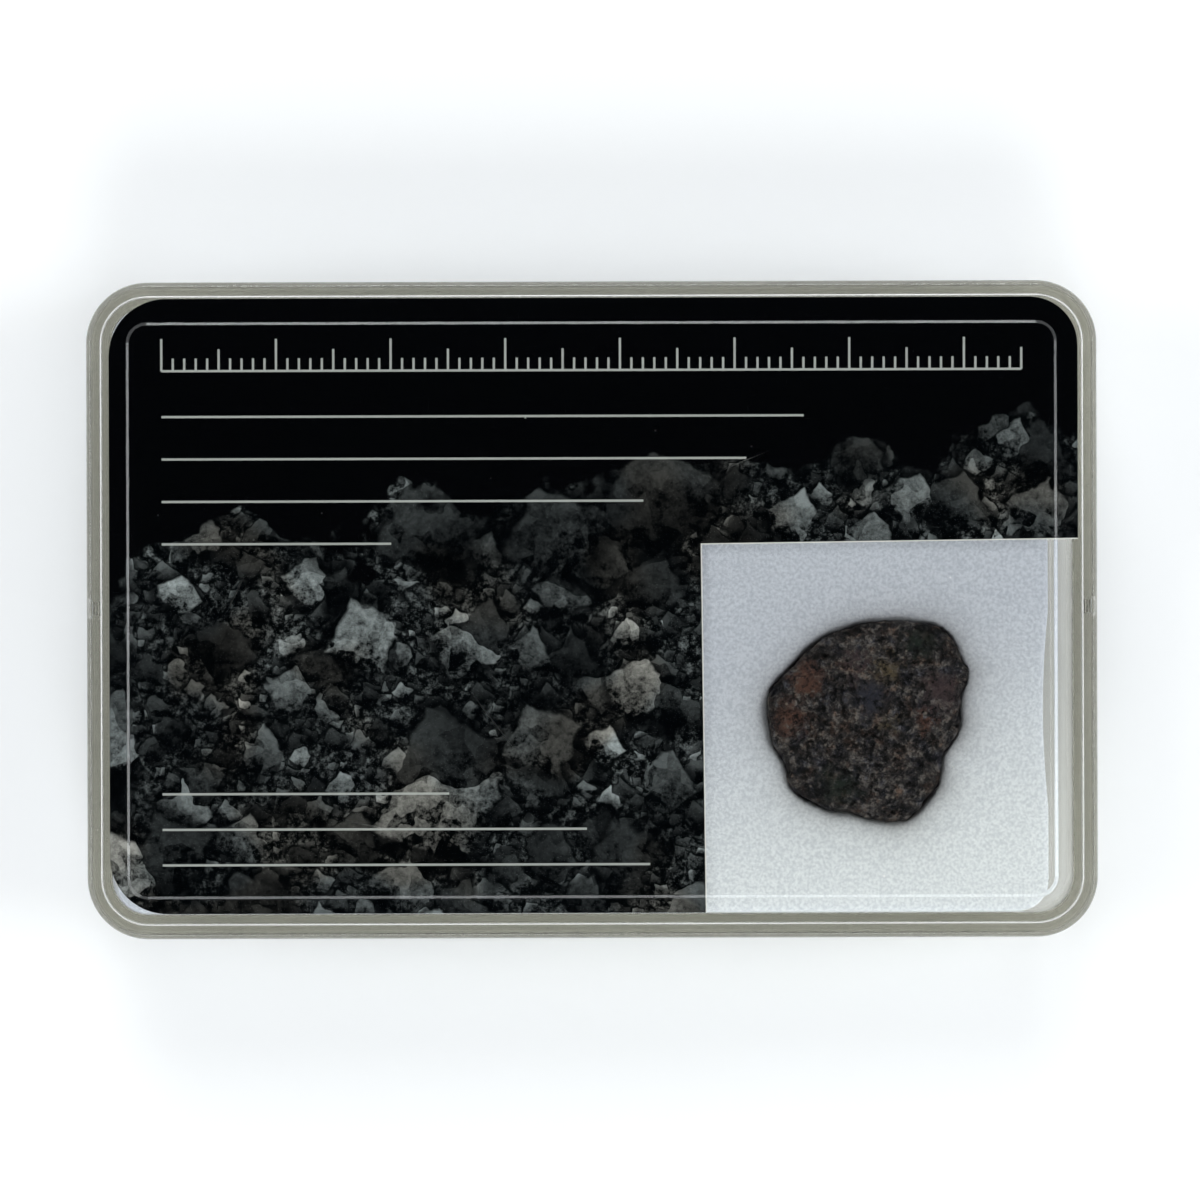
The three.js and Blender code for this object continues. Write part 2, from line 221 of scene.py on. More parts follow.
def press_patch(mesh, wall_x, looks, size, out, taper):
    """Presses a patch of an upright end wall out along the box, round the height of the snap."""
    half_width, half_height = size[0] / 2, size[1] / 2
    for point, direction in (
        (NIB_PLACE + Vector((0, half_width, 0)), (0, 1, 0)),
        (NIB_PLACE - Vector((0, half_width, 0)), (0, 1, 0)),
        (NIB_PLACE + Vector((0, 0, half_height)), (0, 0, 1)),
        (NIB_PLACE - Vector((0, 0, half_height)), (0, 0, 1)),
    ):
        wall = end_wall(mesh, wall_x, looks)
        edges = {e for f in wall for e in f.edges}
        verts = {v for f in wall for v in f.verts}
        bmesh.ops.bisect_plane(mesh, geom=[*wall, *edges, *verts], plane_co=point, plane_no=direction)
    spot = Vector((wall_x, NIB_PLACE.y, NIB_PLACE.z))
    wall = end_wall(mesh, wall_x, looks)
    patch = min(wall, key=lambda f: (f.calc_center_median() - spot).length)
    moved = bmesh.ops.extrude_discrete_faces(mesh, faces=[patch])["faces"][0]
    bmesh.ops.translate(mesh, verts=moved.verts, vec=(out, 0, 0))
    centred = Matrix.Translation(-moved.calc_center_median())
    bmesh.ops.scale(mesh, vec=(1, taper, taper), verts=moved.verts, space=centred)


tray = rounded_block(BOX_SIZE, 0, FOOT_HEIGHT, CORNER_RADIUS, CORNER_SEGMENTS)
ledge = step_in(tray, flat_face(tray, FOOT_HEIGHT, 1), WALL_INSET)
rim = step_in(tray, draw_out(tray, ledge, TRAY_HEIGHT - FOOT_HEIGHT), WALL_THICKNESS)
draw_out(tray, rim, TRAY_FLOOR - TRAY_HEIGHT)
recess = step_in(tray, flat_face(tray, 0, -1), RECESS_INSET)
draw_out(tray, recess, RECESS_DEPTH)
for edge in TRAY_EDGES:
    round_ring(tray, **edge)
for side in (1, -1):
    wall_x = side * (BOX_SIZE.x / 2 - WALL_INSET)
    press_patch(tray, wall_x, side, NIB_SIZE, side * NIB_OUT, NIB_TAPER)
tray_piece = finished("clear_tray", tray, [clear_polystyrene("clear tray plastic", TRAY_DENSITY)[0]])
even_normals(tray_piece)
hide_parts("tray")

# The foam pad: closed-cell white foam cut to fill the tray, a little short on the stone's side and
# squeezed against the front wall. The stone is pressed into it, so it dips round the stone and swells
# softly elsewhere.
PAD_LOW, PAD_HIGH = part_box("foam_pad")
PAD_FRONT_GAP = 0.1 * MM
PAD_FRONT_Y = -BOX_SIZE.y / 2 + INNER_INSET + PAD_FRONT_GAP
PAD_CORNER = 2.6 * MM
PAD_SQUARES = 0.42 * MM
DENT_DEPTH = 1.15 * MM
DENT_REACH = 0.95 * MM
PAD_SWELL = 0.07 * MM
PAD_TOP_SKIN = 0.05 * MM
# How far the painted shade round the stone reaches across the pad.
HALO_SHADE_REACH = 1.5 * MM
UNDER_STONE_GAP = 0.06 * MM
SWELL_SIZES = (9 * MM, 4 * MM)
BOW_DEPTH = 0.45 * MM
BOW_MIDDLE_Y = -8.8 * MM
BOW_HALF_LENGTH = 8.5 * MM
BOW_REACH = 3 * MM
# The foam's colour runs from painted shade at the back of the pad to painted light at the front and right.
FOAM_PAINTED_SHADE_AT_BACK = (206, 211, 222)
FOAM_PAINTED_LIGHT_AT_FRONT = (247, 252, 255)
PAINTED_LIGHT_FROM, PAINTED_LIGHT_FULL_AT = 6.0, 34.0
PAINTED_LIGHT_RIGHT_SHARE = 0.25
FOAM_GRAIN = (228, 229, 232)
# Painted shade round the stone: a brownish grey laid on the foam near the stone, where its shade falls.
STONE_HALO_SHADE = (112, 106, 102)
HALO_SHADE_SHARE = 0.5


def settle(piece):
    """Makes a piece's modifiers part of its mesh."""
    evaluated = piece.evaluated_get(bpy.context.evaluated_depsgraph_get())
    piece.data = bpy.data.meshes.new_from_object(evaluated)
    piece.modifiers.clear()


def even_mesh(piece, size):
    """Remeshes a closed piece to even squares of that size."""
    remesh = piece.modifiers.new("even squares", "REMESH")
    remesh.mode = "VOXEL"
    remesh.voxel_size = size
    remesh.use_smooth_shade = True
    settle(piece)


def merged_copy(node):
    """A CAD node's mesh with its loose triangles joined."""
    mesh = bmesh.new()
    mesh.from_mesh(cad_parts[node].data)
    bmesh.ops.remove_doubles(mesh, verts=mesh.verts, dist=0.0005 * MM)
    return mesh


def linear(red, green, blue):
    """A colour given as it looks on a screen, from 0 to 255, in the renderer's own scale."""
    parts = [value / 255 for value in (red, green, blue)]
    return (*(p / 12.92 if p <= 0.04045 else ((p + 0.055) / 1.055) ** 2.4 for p in parts), 1)


def between(tree, value, low, high):
    """How far a value is on its way from low to high, held between 0 and 1 and eased at both ends."""
    inputs = {"Value": value, "From Min": low, "From Max": high}
    return add(tree, "MapRange", inputs, interpolation_type="SMOOTHSTEP").outputs[0]


def mix_colours(tree, share, under, over, blend="MIX"):
    """The colour over laid on the colour under."""
    inputs = {0: share, 6: under, 7: over}
    return add(tree, "Mix", inputs, data_type="RGBA", blend_type=blend, clamp_factor=True).outputs[2]


def white_foam():
    """Fine closed cells that catch the light as a soft grain, with painted light that makes the pad greyer
    at the back and paler towards the front and right, and painted shade round the stone where it presses
    in."""
    material, tree, output, millimetres = start_material("white foam")
    cells = add(tree, "TexNoise", {"Vector": millimetres, "Scale": 3.4, "Detail": 4.0, "Roughness": 0.7})
    pores = add(tree, "TexVoronoi", {"Vector": millimetres, "Scale": 2.1})
    axes = add(tree, "SeparateXYZ", {0: millimetres})
    # Painted light and shade: the foam is coloured paler towards the front and right and greyer at the
    # back.
    towards_right = calculate(tree, "MULTIPLY", axes.outputs[0], PAINTED_LIGHT_RIGHT_SHARE)
    towards_front = calculate(tree, "SUBTRACT", towards_right, axes.outputs[1])
    painted_light = between(tree, towards_front, PAINTED_LIGHT_FROM, PAINTED_LIGHT_FULL_AT)
    body = mix_colours(tree, painted_light, linear(*FOAM_PAINTED_SHADE_AT_BACK), linear(*FOAM_PAINTED_LIGHT_AT_FRONT))
    fine = between(tree, cells.outputs[0], 0.62, 0.38)
    grained = mix_colours(tree, fine, body, linear(*FOAM_GRAIN), blend="MULTIPLY")
    # Painted shade round the stone, strongest where the stone presses in.
    pressed = add(tree, "Attribute", attribute_name="pressed").outputs["Fac"]
    halo_shade = calculate(tree, "MULTIPLY", pressed, HALO_SHADE_SHARE)
    colour = mix_colours(tree, halo_shade, grained, linear(*STONE_HALO_SHADE))
    height = calculate(tree, "MULTIPLY_ADD", pores.outputs["Distance"], 0.6, cells.outputs[0])
    bump = add(tree, "Bump", {"Height": height, "Strength": 0.7, "Distance": 0.1 * MM})
    foam = add(
        tree,
        "BsdfPrincipled",
        {"Base Color": colour, "Roughness": 0.92, "Specular IOR Level": 0.2, "Normal": bump.outputs[0]},
    )
    tree.links.new(foam.outputs[0], output.inputs["Surface"])
    return material


def press_stone_in(piece, stone):
    """Presses the stone's underside into the top of the pad, which dips towards it all round."""
    top = PAD_HIGH.z - PAD_TOP_SKIN
    pressed = piece.data.attributes.new("pressed", "FLOAT", "POINT").data
    for vertex in piece.data.vertices:
        if vertex.co.z < top:
            continue
        swell = noise.noise(vertex.co / SWELL_SIZES[0]) + 0.5 * noise.noise(vertex.co / SWELL_SIZES[1])
        height = vertex.co.z - PAD_SWELL * (1 + swell)
        start = Vector((vertex.co.x, vertex.co.y, PAD_LOW.z))
        underside = stone.ray_cast(start, Vector((0, 0, 1)))[0]
        beside = Vector((vertex.co.x, vertex.co.y, PAD_HIGH.z - DENT_DEPTH))
        away = 0 if underside else stone.find_nearest(beside)[3]
        # How near the stone each point of the pad lies, which sets the painted shade round it.
        pressed[vertex.index].value = math.exp(-away / HALO_SHADE_REACH)
        vertex.co.z = height - DENT_DEPTH * math.exp(-away / DENT_REACH)
        if underside:
            vertex.co.z = min(vertex.co.z, underside.z - UNDER_STONE_GAP)


def bow_right_side(piece):
    """Draws the pad's right side in a little, where the knife wandered."""
    for vertex in piece.data.vertices:
        off_middle = (vertex.co.y - BOW_MIDDLE_Y) / BOW_HALF_LENGTH
        near_side = max(0, 1 - (PAD_HIGH.x - vertex.co.x) / BOW_REACH)
        if abs(off_middle) < 1:
            vertex.co.x -= BOW_DEPTH * near_side * (1 - off_middle**2)


pad_size = Vector((PAD_HIGH.x - PAD_LOW.x, PAD_HIGH.y - PAD_FRONT_Y))
pad_middle = Vector((PAD_LOW.x + PAD_HIGH.x, PAD_FRONT_Y + PAD_HIGH.y, 0)) / 2
pad = rounded_block(pad_size, PAD_LOW.z, PAD_HIGH.z, PAD_CORNER, 8)
bmesh.ops.translate(pad, verts=pad.verts, vec=pad_middle)
pad_piece = finished("white_foam_pad", pad, [])
even_mesh(pad_piece, PAD_SQUARES)
stone_solid = merged_copy("meteorite")
press_stone_in(pad_piece, BVHTree.FromBMesh(stone_solid))
bow_right_side(pad_piece)
pad_piece.data.materials.append(white_foam())
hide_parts("foam_pad")

# The stone: a broken piece of chondrite, dark brown to black, with patches of rust and other stains and
# a few pale chondrules. Its surface is rough with small ledges, knobs and pits.
STONE_SQUARES = 0.13 * MM
KNOB_HEIGHT = 0.16
LEDGE_HEIGHT = 0.05
PIT_DEPTH = 0.4
GRAIN_HEIGHT = 0.06
RUST = (86, 59, 49)
OCHRE = (90, 79, 60)
SLATE = (46, 48, 58)
OLIVE = (30, 39, 33)
PLUM = (66, 53, 55)
CHONDRULE = (150, 142, 132)
CHONDRULE_SHARE = 0.4
WARM_GRAINS = (255, 224, 208)
COOL_GRAINS = (214, 224, 250)
MATRIX_TONES = (
    {"at": 0.45, "tone": (5, 5, 6)},
    {"at": 0.56, "tone": (23, 23, 25)},
    {"at": 0.69, "tone": (54, 51, 51)},
    {"at": 0.88, "tone": (112, 107, 103)},
)
CLASTS = (
    {"scale": 1.5, "weight": 0.16},
    {"scale": 3.4, "weight": 0.18},
    {"scale": 7.0, "weight": 0.14},
)
PATCH_HEIGHT = 11.0
PATCHES = (
    {"middle": (17.2, -9.4), "reach": 2.1, "stain": RUST},
    {"middle": (18.9, -6.2), "reach": 2.2, "stain": RUST},
    {"middle": (29.0, -9.6), "reach": 1.4, "stain": RUST},
    {"middle": (24.2, -7.8), "reach": 2.6, "stain": SLATE},
    {"middle": (25.5, -5.2), "reach": 1.6, "stain": OCHRE},
    {"middle": (26.0, -9.9), "reach": 1.6, "stain": OCHRE},
    {"middle": (30.3, -7.2), "reach": 2.6, "stain": PLUM},
    {"middle": (23.0, -5.0), "reach": 1.8, "stain": PLUM},
    {"middle": (28.6, -2.9), "reach": 2.0, "stain": OLIVE},
    {"middle": (21.5, -15.5), "reach": 2.4, "stain": OLIVE},
)


def colour_ramp(tree, value, stops):
    """A colour that runs through the stops, each a place from 0 to 1 with its colour."""
    node = add(tree, "ValToRGB", {"Fac": value})
    elements = node.color_ramp.elements
    while len(elements) < len(stops):
        elements.new(1.0)
    for element, (place, colour) in zip(elements, stops):
        element.position = place
        element.color = colour
    return node.outputs[0]


def chondrite():
    """Dark matrix crowded with clasts of many tones, warm and cool, with patches of rust, ochre, olive,
    plum and slate and a few pale chondrules."""
    material, tree, output, millimetres = start_material("chondrite")
    mottle = add(tree, "TexNoise", {"Vector": millimetres, "Scale": 1.2, "Detail": 5.0, "Roughness": 0.7})
    warp = add(tree, "VectorMath", {0: mottle.outputs["Color"], "Scale": 0.9}, operation="SCALE").outputs[0]
    bent = add(tree, "VectorMath", {0: millimetres, 1: warp}, operation="ADD").outputs[0]
    tone = calculate(tree, "MULTIPLY", mottle.outputs[0], 0.8)
    for clast in CLASTS:
        grains = add(tree, "TexVoronoi", {"Vector": bent, "Scale": clast["scale"]})
        own = add(tree, "SeparateColor", {0: grains.outputs["Color"]}).outputs[0]
        tone = calculate(tree, "MULTIPLY_ADD", own, clast["weight"], tone)
    colour = colour_ramp(tree, tone, [(stop["at"], linear(*stop["tone"])) for stop in MATRIX_TONES])
    hue = add(tree, "TexNoise", {"Vector": millimetres, "Scale": 0.8, "Detail": 4.0, "Roughness": 0.75})
    rusty = between(tree, hue.outputs[0], 0.5, 0.64)
    bluish = between(tree, hue.outputs[0], 0.48, 0.36)
    colour = mix_colours(tree, rusty, colour, linear(*WARM_GRAINS), blend="MULTIPLY")
    colour = mix_colours(tree, bluish, colour, linear(*COOL_GRAINS), blend="MULTIPLY")
    edge = calculate(tree, "MULTIPLY_ADD", mottle.outputs[0], 6.0, -3.0)
    taken_up = between(tree, tone, 0.48, 0.75)
    for patch in PATCHES:
        middle = (*patch["middle"], PATCH_HEIGHT)
        off = add(tree, "VectorMath", {0: millimetres, 1: middle}, operation="DISTANCE").outputs["Value"]
        inside = between(tree, calculate(tree, "ADD", off, edge), patch["reach"], patch["reach"] * 0.3)
        share = calculate(tree, "MULTIPLY", inside, taken_up)
        colour = mix_colours(tree, share, colour, linear(*patch["stain"]))
    chondrules = add(tree, "TexVoronoi", {"Vector": millimetres, "Scale": 1.1})
    chosen = add(tree, "SeparateColor", {0: chondrules.outputs["Color"]}).outputs[1]
    round_grain = between(tree, chondrules.outputs["Distance"], 0.2, 0.1)
    pale = calculate(tree, "MULTIPLY", round_grain, calculate(tree, "GREATER_THAN", chosen, 0.88))
    pale = calculate(tree, "MULTIPLY", pale, CHONDRULE_SHARE)
    colour = mix_colours(tree, pale, colour, linear(*CHONDRULE))
    bump = add(tree, "Bump", {"Height": tone, "Strength": 1.0, "Distance": 0.35 * MM})
    stone = add(
        tree,
        "BsdfPrincipled",
        {"Base Color": colour, "Roughness": 0.6, "Specular IOR Level": 0.3, "Normal": bump.outputs[0]},
    )
    tree.links.new(stone.outputs[0], output.inputs["Surface"])
    return material


def roughen(piece):
    """Breaks the stone's surface up with ledges, knobs and pits."""
    for vertex, corner in zip(piece.data.vertices, piece.data.vertex_normals):
        place = vertex.co / MM
        knobs = noise.fractal(place * 0.55, 1.0, 2.1, 4)
        ledges = noise.cell(place * 0.9 + Vector((0.3, 0.3, 0.3)) * noise.noise(place * 0.7))
        pits = max(0, noise.noise(place * 1.7) - 0.25)
        grains = noise.fractal(place * 2.3, 0.8, 2.0, 2)
        out = KNOB_HEIGHT * knobs + LEDGE_HEIGHT * ledges - PIT_DEPTH * pits + GRAIN_HEIGHT * grains
        vertex.co += corner.vector * out * MM


stone_piece = finished("chondrite_stone", stone_solid, [])
even_mesh(stone_piece, STONE_SQUARES)
roughen(stone_piece)
stone_piece.data.materials.append(chondrite())
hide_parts("meteorite")

# The printed card: stiff white card printed dark on its upper face, cut by hand to an L that leaves
# the stone's corner of the pad bare. The print is a field of broken stone that fades to black, with a
# millimetre scale and ruled lines.
CARD_LOW, CARD_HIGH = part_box("printed_card")
CARD_LEFT_CORNER = 5.0 * MM
CARD_RIGHT_CORNER = 4.2 * MM
WINDOW_CORNER = (9.6 * MM, 5.65 * MM)
WINDOW_FRONT_X = 9.95 * MM
WINDOW_RIGHT_Y = 6.05 * MM
CUT_EDGE = 0.1 * MM
NIGHT = (3, 4, 6)
SKYLINE, SKYLINE_SOFTNESS = 20.8, 0.6
SKYLINE_SLOPE = -0.16
SKYLINE_SWELL = 17.0
SKYLINE_JAGS = 5.0
DARKEST_ROCK = (2, 4, 6)
PALEST_ROCK = (186, 196, 199)
WARM_ROCK = (255, 232, 214)
RULE_GREY = (190, 194, 192)
RULE_STRENGTH = 0.8
CARD_FIBRE = ((226, 226, 222), (240, 240, 237))
ROCK_LAYERS = (
    {"across": 1.2, "share": 0.6, "turn": 10},
    {"across": 2.5, "share": 0.65, "turn": 35},
    {"across": 5.0, "share": 0.6, "turn": 60},
    {"across": 9.5, "share": 0.45, "turn": 25},
)
SCALE_LEFT = -37.5
SCALE_LENGTH = 75.0
SCALE_BASE = 20.9
TICKS = (
    {"every": 1, "height": 1.1},
    {"every": 5, "height": 1.9},
    {"every": 10, "height": 2.8},
)
RULE_THICKNESS = 0.2
RULES = (
    {"height": 16.9, "length": 56.0},
    {"height": 13.2, "length": 51.0},
    {"height": 9.5, "length": 42.0},
    {"height": 5.8, "length": 20.0},
    {"height": -16.0, "length": 25.0},
    {"height": -19.1, "length": 37.0},
    {"height": -22.2, "length": 42.5},
)


def group_tree(name, inputs, outputs):
    """A new shader node group with named number, colour or vector sockets."""
    tree = bpy.data.node_groups.new(name, "ShaderNodeTree")
    for label, kind in inputs.items():
        tree.interface.new_socket(label, in_out="INPUT", socket_type="NodeSocket" + kind)
    for label, kind in outputs.items():
        tree.interface.new_socket(label, in_out="OUTPUT", socket_type="NodeSocket" + kind)
    return tree, tree.nodes.new("NodeGroupInput"), tree.nodes.new("NodeGroupOutput")


def rocks_of_one_size():
    """Scattered rocks lit from the upper left, each with its own tone and a dark crevice round it, laid
    over what is below. All tones run from 0 for black to 1 for the palest rock."""
    inputs = {"Place": "Vector", "Across": "Float", "Share": "Float", "Facets": "Float", "Below": "Float"}
    tree, given, made = group_tree("rocks of one size", inputs, {"Tone": "Float"})
    place, across = given.outputs["Place"], given.outputs["Across"]
    cells = add(
        tree,
        "TexVoronoi",
        {"Vector": place, "Scale": calculate(tree, "DIVIDE", 1.0, across)},
        voronoi_dimensions="2D",
        distance="CHEBYCHEV",
    )
    chance = add(tree, "SeparateColor", {0: cells.outputs["Color"]})
    away = cells.outputs["Distance"]
    there = calculate(tree, "LESS_THAN", chance.outputs[0], given.outputs["Share"])
    reach = calculate(tree, "MULTIPLY_ADD", chance.outputs[2], 0.24, 0.26)
    rock = between(tree, calculate(tree, "SUBTRACT", reach, away), 0.0, 0.05)
    crevice = between(tree, calculate(tree, "SUBTRACT", away, reach), 0.22, 0.0)
    from_middle = add(tree, "VectorMath", {0: place, 1: cells.outputs["Position"]}, operation="SUBTRACT")
    light = {0: from_middle.outputs[0], 1: (-0.6, 0.8, 0.0)}
    facing = add(tree, "VectorMath", light, operation="DOT_PRODUCT").outputs["Value"]
    lit = calculate(tree, "MULTIPLY_ADD", calculate(tree, "DIVIDE", facing, across), 1.1, 0.35)
    lit = calculate(tree, "ADD", lit, given.outputs["Facets"], clamp=True)
    own = calculate(tree, "POWER", chance.outputs[1], 3.2)
    tone = calculate(tree, "MULTIPLY", lit, calculate(tree, "MULTIPLY_ADD", own, 0.9, 0.1))
    shade = calculate(tree, "MULTIPLY_ADD", calculate(tree, "MULTIPLY", crevice, there), -0.8, 1.0)
    below = calculate(tree, "MULTIPLY", given.outputs["Below"], shade)
    share = calculate(tree, "MULTIPLY", rock, there)
    laid = add(tree, "Mix", {0: share, 2: below, 3: tone}).outputs[0]
    tree.links.new(laid, made.inputs["Tone"])
    return tree


def box_mask(tree, across, up, left, right, low, high):
    """1 inside a rectangle of the card's face, in millimetres, and 0 outside it."""
    sides = (
        calculate(tree, "LESS_THAN", across, right),
        calculate(tree, "GREATER_THAN", up, low),
        calculate(tree, "LESS_THAN", up, high),
    )
    mask = calculate(tree, "GREATER_THAN", across, left)
    for side in sides:
        mask = calculate(tree, "MULTIPLY", mask, side)
    return mask


def scale_mask(tree, across, up):
    """A millimetre scale: a base line with a tick every millimetre, longer at each fifth and tenth."""
    right = SCALE_LEFT + SCALE_LENGTH
    half = RULE_THICKNESS / 2
    mask = box_mask(tree, across, up, SCALE_LEFT, right, SCALE_BASE - half, SCALE_BASE + half)
    from_left = calculate(tree, "ADD", across, half - SCALE_LEFT)
    for tick in TICKS:
        along = calculate(tree, "MODULO", from_left, tick["every"])
        line = calculate(tree, "LESS_THAN", along, RULE_THICKNESS)
        top = SCALE_BASE + tick["height"]
        room = box_mask(tree, across, up, SCALE_LEFT - half, right + half, SCALE_BASE, top)
        mask = calculate(tree, "MAXIMUM", mask, calculate(tree, "MULTIPLY", line, room))
    return mask


def dark_print():
    """Satin print: broken stone lit from the upper left, fading to black, a scale and ruled lines."""
    material, tree, output, millimetres = start_material("dark print")
    rocks = rocks_of_one_size()
    axes = add(tree, "SeparateXYZ", {0: millimetres})
    across, up = axes.outputs[0], axes.outputs[1]
    warp = add(tree, "TexNoise", {"Vector": millimetres, "Scale": 0.45, "Detail": 2.0, "Roughness": 0.5})
    shift = add(tree, "VectorMath", {0: warp.outputs["Color"], 1: (0.5, 0.5, 0.5)}, operation="SUBTRACT")
    shift = add(tree, "VectorMath", {0: shift.outputs[0], "Scale": 2.0}, operation="SCALE")
    bent = add(tree, "VectorMath", {0: millimetres, 1: shift.outputs[0]}, operation="ADD").outputs[0]
    chips = add(tree, "TexVoronoi", {"Vector": bent, "Scale": 0.8}, voronoi_dimensions="2D")
    chipped = add(tree, "SeparateColor", {0: chips.outputs["Color"]}).outputs[0]
    grit = add(tree, "TexNoise", {"Vector": millimetres, "Scale": 1.6, "Detail": 5.0, "Roughness": 0.75})
    facets = calculate(tree, "MULTIPLY_ADD", chipped, 0.55, -0.4)
    rough = calculate(tree, "SUBTRACT", grit.outputs[0], 0.44)
    facets = calculate(tree, "MULTIPLY_ADD", rough, 2.2, facets)
    tone = calculate(tree, "MULTIPLY", between(tree, grit.outputs[0], 0.45, 0.8), 0.6)
    for layer in ROCK_LAYERS:
        turn = (0, 0, math.radians(layer["turn"]))
        inputs = {
            "Place": add(tree, "Mapping", {"Vector": bent, "Rotation": turn}).outputs[0],
            "Across": layer["across"],
            "Share": layer["share"],
            "Facets": facets,
            "Below": tone,
        }
        tone = add(tree, "Group", inputs, node_tree=rocks).outputs[0]
    wide = add(tree, "TexNoise", {"Vector": millimetres, "Scale": 0.1, "Detail": 1.0})
    areas = add(tree, "SeparateColor", {0: wide.outputs["Color"]})
    brightness = calculate(tree, "MULTIPLY_ADD", areas.outputs[0], 1.9, -0.25)
    tone = calculate(tree, "MULTIPLY", tone, brightness)
    stones = mix_colours(tree, tone, linear(*DARKEST_ROCK), linear(*PALEST_ROCK))
    warm = calculate(tree, "MULTIPLY", between(tree, areas.outputs[1], 0.52, 0.64), 0.6)
    stones = mix_colours(tree, warm, stones, linear(*WARM_ROCK), blend="MULTIPLY")
    above = calculate(tree, "MULTIPLY_ADD", across, SKYLINE_SLOPE, up)
    above = calculate(tree, "MULTIPLY_ADD", areas.outputs[2], SKYLINE_SWELL, above)
    above = calculate(tree, "MULTIPLY_ADD", warp.outputs[0], SKYLINE_JAGS, above)
    night = between(tree, above, SKYLINE, SKYLINE + SKYLINE_SOFTNESS)
    field = mix_colours(tree, night, stones, linear(*NIGHT))
    drawn = scale_mask(tree, across, up)
    for rule in RULES:
        low, high = rule["height"] - RULE_THICKNESS / 2, rule["height"] + RULE_THICKNESS / 2
        bar = box_mask(tree, across, up, SCALE_LEFT, SCALE_LEFT + rule["length"], low, high)
        drawn = calculate(tree, "MAXIMUM", drawn, bar)
    inked = calculate(tree, "MULTIPLY", drawn, RULE_STRENGTH)
    colour = mix_colours(tree, inked, field, linear(*RULE_GREY))
    card = add(
        tree, "BsdfPrincipled", {"Base Color": colour, "Roughness": 0.45, "Specular IOR Level": 0.05}
    )
    tree.links.new(card.outputs[0], output.inputs["Surface"])
    return material


def white_card():
    """The uncoated white of the card's cut edges and back, with a trace of fibre."""
    material, tree, output, millimetres = start_material("white card")
    fibre = add(tree, "TexNoise", {"Vector": millimetres, "Scale": 3.0, "Detail": 4.0})
    colour = mix_colours(tree, fibre.outputs[0], *(linear(*tone) for tone in CARD_FIBRE))
    bump = add(tree, "Bump", {"Height": fibre.outputs[0], "Strength": 0.2, "Distance": 0.02 * MM})
    card = add(
        tree, "BsdfPrincipled", {"Base Color": colour, "Roughness": 0.85, "Normal": bump.outputs[0]}
    )
    tree.links.new(card.outputs[0], output.inputs["Surface"])
    return material


card = bmesh.new()
corners = [
    card.verts.new((x, y, CARD_LOW.z))
    for x, y in (
        (CARD_LOW.x, CARD_LOW.y),
        (WINDOW_FRONT_X, CARD_LOW.y),
        WINDOW_CORNER,
        (CARD_HIGH.x, WINDOW_RIGHT_Y),
        (CARD_HIGH.x, CARD_HIGH.y),
        (CARD_LOW.x, CARD_HIGH.y),
    )
]
card.faces.new(corners)
for rounded, radius in (
    ([corners[0], corners[5]], CARD_LEFT_CORNER),
    ([corners[4]], CARD_RIGHT_CORNER),
):
    bmesh.ops.bevel(
        card, geom=rounded, offset=radius, affect="VERTICES", segments=12, profile=0.5, material=-1
    )
thick = bmesh.ops.extrude_face_region(card, geom=list(card.faces))["geom"]
upper = [v for v in thick if isinstance(v, bmesh.types.BMVert)]
bmesh.ops.translate(card, verts=upper, vec=(0, 0, CARD_HIGH.z - CARD_LOW.z))
bmesh.ops.recalc_face_normals(card, faces=card.faces)
top_verts = [v for v in card.verts if v.co.z > CARD_HIGH.z - CLOSE]
window_verts = {
    v for v in top_verts if v.co.x > WINDOW_CORNER[0] - CLOSE and v.co.y < WINDOW_RIGHT_Y + CLOSE
}
window_edges = [edge for edge in card.edges if all(v in window_verts for v in edge.verts)]
bmesh.ops.bevel(
    card, geom=window_edges, offset=CUT_EDGE, affect="EDGES", segments=2, profile=0.5, material=-1
)
card.normal_update()
for face in card.faces:
    face.material_index = 0 if face.normal.z > 0.99 else 1
card_piece = finished("printed_label_card", card, [dark_print(), white_card()], smooth_below=25)
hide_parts("printed_card")

# The lid: clear polystyrene like the tray. Its skirt drops outside the tray's wall onto the ledge, and
# a raised panel on top keeps the next box of a stack from sliding off.
LID_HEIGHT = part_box("lid")[1].z
SKIRT_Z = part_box("lid")[0].z
LID_WALL = 1.15 * MM
CEILING_Z = 12.3 * MM
PANEL_INSET = 3.48 * MM
PANEL_SLOPE = 0.3 * MM
PANEL_RISE = 0.21 * MM
SHOULDER_Z = LID_HEIGHT - PANEL_RISE
LID_EDGES = (
    {"inset": 0, "z": SHOULDER_Z, "radius": 0.8 * MM, "segments": 8},
    {"inset": PANEL_INSET, "z": SHOULDER_Z, "radius": 0.06 * MM, "segments": 2},
    {"inset": PANEL_INSET + PANEL_SLOPE, "z": LID_HEIGHT, "radius": 0.06 * MM, "segments": 3},
    {"inset": LID_WALL, "z": CEILING_Z, "radius": 0.2 * MM, "segments": 4},
    {"inset": 0, "z": SKIRT_Z, "radius": 0.1 * MM, "segments": 2},
    {"inset": LID_WALL, "z": SKIRT_Z, "radius": 0.1 * MM, "segments": 2},
)
LID_DENSITY = 275
WORN_ROUGHNESS = 0.5
HAIRLINE = 0.045
SCRATCHES = (
    {"middle": (-8.7, -9.6), "turn": -53, "length": 7.0},
    {"middle": (-31.0, 1.5), "turn": 64, "length": 4.0},
    {"middle": (13.5, 13.0), "turn": 22, "length": 5.0},
    {"middle": (-20.0, -18.6), "turn": -12, "length": 4.5},
)
POCKET_ROOM = 0.3 * MM
POCKET_SIZE = (NIB_SIZE[0] + POCKET_ROOM, NIB_SIZE[1] + POCKET_ROOM)
POCKET_DEPTH = 0.55 * MM


